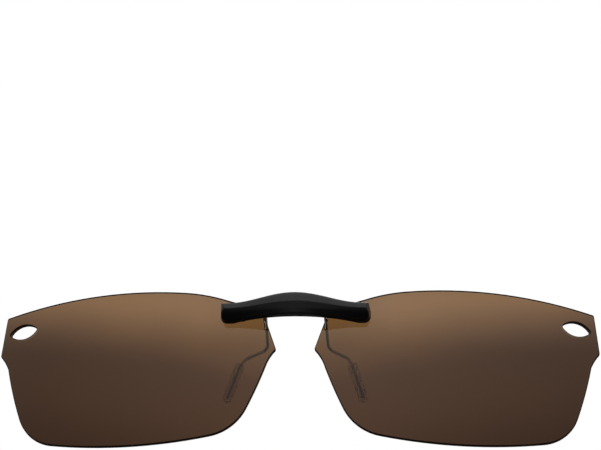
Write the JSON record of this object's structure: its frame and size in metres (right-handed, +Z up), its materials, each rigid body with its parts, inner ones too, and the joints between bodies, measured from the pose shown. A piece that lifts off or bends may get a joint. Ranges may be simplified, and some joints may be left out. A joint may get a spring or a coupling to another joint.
{
  "type": "clip-on sunglasses",
  "caption": "Rimless brown clip-on sunglass lenses on an arched black bridge, with sprung wire claws that grip a pair of spectacles from behind.",
  "frame": {"origin": "front of the lens surface midway between the lenses, where the clip meets the bridge of the spectacles", "axes": "+X towards the wearer's left lens, -Y forwards away from the face, +Z up as worn"},
  "size_m": [0.1378, 0.0186, 0.0364],
  "materials": {
    "lens_brown": "glossy tinted polarising plastic",
    "bridge_black": "satin black paint",
    "tab_black": "matt black",
    "clamp_black": "matt black paint",
    "screw_steel": "blackened steel",
    "wire_steel": "polished spring wire",
    "spring_steel": "drawn spring wire",
    "sleeve_clear": "clear silicone rubber"
  },
  "bodies": {
    "clip": {"bridge": "bridge_black", "clamp_screws": "screw_steel", "lens_left": "lens_brown", "lens_clamp_left": "clamp_black", "torsion_spring_left": "spring_steel", "lens_right": "lens_brown", "lens_clamp_right": "clamp_black", "torsion_spring_right": "spring_steel"},
    "claws": {"thumb_tab": "tab_black", "claw_wire_left": "wire_steel", "claw_wire_right": "wire_steel", "claw_sleeve_left": "sleeve_clear", "claw_sleeve_right": "sleeve_clear"}
  },
  "joints": [
    {"name": "claw_hinge", "type": "hinge", "parent": "clip", "child": "claws", "pos_m": [0, -0.003, 0.0004], "axis": [1, 0, 0], "range_deg": [0, 25], "stiffness_Nm_per_rad": 0.04, "springref_deg": -28.65, "deforming": ["torsion_spring_left", "torsion_spring_right"]}
  ]
}
